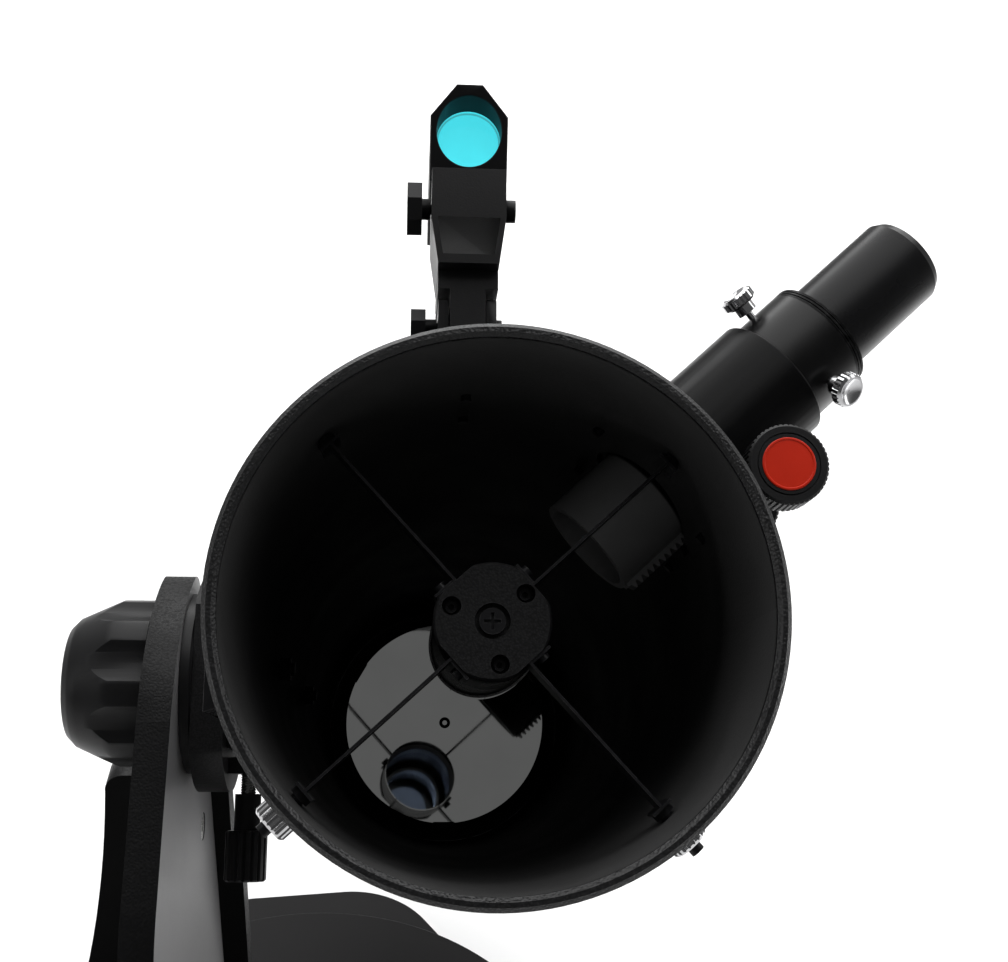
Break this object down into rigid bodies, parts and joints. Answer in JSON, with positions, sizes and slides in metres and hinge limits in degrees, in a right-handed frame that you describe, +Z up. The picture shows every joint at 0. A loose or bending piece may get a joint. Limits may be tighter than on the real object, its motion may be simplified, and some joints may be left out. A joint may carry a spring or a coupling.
{
  "type": "tabletop dobsonian telescope",
  "caption": "Short reflector tube carried on the side arm of a turntable base, with a rack-and-pinion focuser, eyepiece and red-dot finder; stored tipped up at an angle.",
  "frame": {"origin": "on the table plane, on the azimuth axis", "axes": "+Z up along the azimuth axis; the tube's open end points to -Y and up; +X to the right of someone facing the open end"},
  "size_m": [0.5163, 0.6312, 0.7884],
  "materials": {
    "black_board": "black melamine-faced board",
    "black_tube_paint": "satin black",
    "textured_black": "black crinkle paint",
    "cast_black": "black crinkle paint",
    "satin_black_metal": "satin black anodised",
    "black_plastic": "moulded black",
    "white_plastic": "natural",
    "laminate": "grey laminate",
    "rubber": "black",
    "zinc_steel": "zinc plated",
    "chrome": "polished",
    "brass": "turned",
    "mirror_glass": "aluminised",
    "coated_glass": "coated"
  },
  "bodies": {
    "base": {"ground_board": "black_board", "rubber_feet": "rubber", "foot_screws": "zinc_steel", "azimuth_pads": "white_plastic", "azimuth_bolt": "zinc_steel"},
    "turntable": {"turntable_board": "black_board", "azimuth_track": "laminate", "board_screws": "zinc_steel", "side_arm": "black_board", "rear_brace": "black_board", "cam_locks": "zinc_steel", "bearing_bushes": "white_plastic"},
    "cradle": {"altitude_disc": "black_plastic", "dovetail_saddle": "cast_black", "altitude_insert": "brass"},
    "altitude_knob": {"altitude_knob": "black_plastic", "altitude_bolt": "zinc_steel"},
    "clamp_jaw": {"clamp_jaw": "black_plastic"},
    "clamp_knob": {"clamp_screw": "zinc_steel", "clamp_grip": "black_plastic"},
    "tube": {"dovetail_bar": "satin_black_metal", "bar_spacers": "satin_black_metal", "bar_bolts": "zinc_steel", "tube_shell": "black_tube_paint", "front_ring": "textured_black", "rear_ring": "cast_black", "spider_hub": "cast_black", "spider_vanes": "textured_black", "vane_fixings": "zinc_steel", "vane_nuts": "chrome", "secondary_screws": "zinc_steel", "focuser_body": "satin_black_metal", "tube_screws": "zinc_steel", "finder_shoe": "black_plastic", "lock_screws": "zinc_steel", "collimation_springs": "zinc_steel"},
    "secondary": {"secondary_holder": "satin_black_metal", "secondary_mirror": "mirror_glass"},
    "primary_cell": {"mirror_cell": "cast_black", "primary_mirror": "mirror_glass", "mirror_clips": "black_plastic"},
    "collimation_knob_1": {"collimation_knob_1": "black_plastic"},
    "collimation_knob_2": {"collimation_knob_2": "black_plastic"},
    "collimation_knob_3": {"collimation_knob_3": "black_plastic"},
    "drawtube": {"drawtube": "satin_black_metal", "adapter_ring": "satin_black_metal"},
    "focus_shaft": {"focus_pinion": "zinc_steel", "focus_knobs": "black_plastic"},
    "thumb_screw_1": {"thumb_screw_1": "chrome"},
    "thumb_screw_2": {"thumb_screw_2": "chrome"},
    "eyepiece": {"eyepiece_barrel": "chrome", "eyepiece_housing": "satin_black_metal", "eyepiece_lenses": "coated_glass"},
    "finder_cradle": {"finder_cradle": "black_plastic"},
    "tilt_knob": {"tilt_knob": "black_plastic"},
    "sight": {"sight_mount": "black_plastic", "sight_body": "black_plastic", "sight_lens": "coated_glass"},
    "pan_knob": {"pan_knob": "black_plastic"},
    "sight_switch": {"sight_switch": "black_plastic"}
  },
  "joints": [
    {"name": "azimuth", "type": "hinge", "parent": "base", "child": "turntable", "pos_m": [0, 0, 0.05], "axis": [0, 0, 1], "continuous": true},
    {"name": "altitude", "type": "hinge", "parent": "turntable", "child": "cradle", "pos_m": [-0.045, -0.026, 0.465], "axis": [-1, 0, 0], "range_deg": [-43, 47]},
    {"name": "altitude_lock", "type": "hinge", "parent": "cradle", "child": "altitude_knob", "pos_m": [-0.08, -0.026, 0.465], "axis": [-1, 0, 0], "range_deg": [0, 360]},
    {"name": "clamp_turn", "type": "hinge", "parent": "cradle", "child": "clamp_knob", "pos_m": [-0.014, -0.08056, 0.40649], "axis": [0, -0.682, -0.7314], "range_deg": [0, 720]},
    {"name": "jaw_slide", "type": "slide", "parent": "cradle", "child": "clamp_jaw", "axis": [0, -0.682, -0.7314], "range_m": [0, 0.0025]},
    {"name": "tube_slide", "type": "slide", "parent": "cradle", "child": "tube", "axis": [0, -0.7314, 0.682], "range_m": [-0.06, 0.06]},
    {"name": "secondary_turn", "type": "hinge", "parent": "tube", "child": "secondary", "pos_m": [0.095, -0.1869, 0.61504], "axis": [0, -0.7314, 0.682], "range_deg": [-10, 10]},
    {"name": "primary_tilt", "type": "hinge", "parent": "tube", "child": "primary_cell", "pos_m": [0.095, 0.2257, 0.18653], "axis": [1, 0, 0], "range_deg": [-0.4, 0.4]},
    {"name": "collimation_1", "type": "hinge", "parent": "tube", "child": "collimation_knob_1", "pos_m": [0.095, 0.30653, 0.24242], "axis": [0, -0.7314, 0.682], "range_deg": [-270, 270]},
    {"name": "collimation_2", "type": "hinge", "parent": "tube", "child": "collimation_knob_2", "pos_m": [0.03957, 0.24106, 0.17221], "axis": [0, -0.7314, 0.682], "range_deg": [-270, 270]},
    {"name": "collimation_3", "type": "hinge", "parent": "tube", "child": "collimation_knob_3", "pos_m": [0.15043, 0.24106, 0.17221], "axis": [0, -0.7314, 0.682], "range_deg": [-270, 270]},
    {"name": "focus_turn", "type": "hinge", "parent": "tube", "child": "focus_shaft", "pos_m": [0.20743, -0.1257, 0.64401], "axis": [0, 0.7314, -0.682], "range_deg": [0, 330]},
    {"name": "drawtube_slide", "type": "slide", "parent": "tube", "child": "drawtube", "axis": [0.7349, 0.4625, 0.496], "range_m": [0, 0.0345]},
    {"name": "thumb_turn_1", "type": "hinge", "parent": "drawtube", "child": "thumb_screw_1", "pos_m": [0.19887, -0.07977, 0.70701], "axis": [-0.6519, 0.2802, 0.7046], "range_deg": [0, 540]},
    {"name": "thumb_turn_2", "type": "hinge", "parent": "drawtube", "child": "thumb_screw_2", "pos_m": [0.23762, -0.11883, 0.68601], "axis": [0.4878, -0.8686, 0.0871], "range_deg": [0, 540]},
    {"name": "eyepiece_pull", "type": "slide", "parent": "drawtube", "child": "eyepiece", "axis": [0.7349, 0.4625, 0.496], "range_m": [0, 0.03]},
    {"name": "finder_tilt", "type": "hinge", "parent": "tube", "child": "finder_cradle", "pos_m": [0.0865, -0.11583, 0.70738], "axis": [1, 0, 0], "range_deg": [-3, 3]},
    {"name": "tilt_knob_turn", "type": "hinge", "parent": "tube", "child": "tilt_knob", "pos_m": [0.0865, -0.11583, 0.70738], "axis": [1, 0, 0], "range_deg": [-180, 180]},
    {"name": "finder_pan", "type": "hinge", "parent": "finder_cradle", "child": "sight", "pos_m": [0.0865, -0.09478, 0.71236], "axis": [0, 0.682, 0.7314], "range_deg": [-3, 3]},
    {"name": "pan_knob_turn", "type": "hinge", "parent": "sight", "child": "pan_knob", "pos_m": [0.0865, -0.09334, 0.74616], "axis": [1, 0, 0], "range_deg": [-180, 180]},
    {"name": "switch_turn", "type": "hinge", "parent": "sight", "child": "sight_switch", "pos_m": [0.0865, -0.06578, 0.72292], "axis": [0, 0.7314, -0.682], "range_deg": [0, 270]}
  ],
  "couplings": [
    {"joint": "clamp_turn", "follows": "jaw_slide", "rad_per_m": 5026.5},
    {"joint": "collimation_1", "follows": "primary_tilt", "ratio": -603.19},
    {"joint": "focus_turn", "follows": "drawtube_slide", "rad_per_m": 166.67},
    {"joint": "tilt_knob_turn", "follows": "finder_tilt", "ratio": 60},
    {"joint": "pan_knob_turn", "follows": "finder_pan", "ratio": 60}
  ]
}
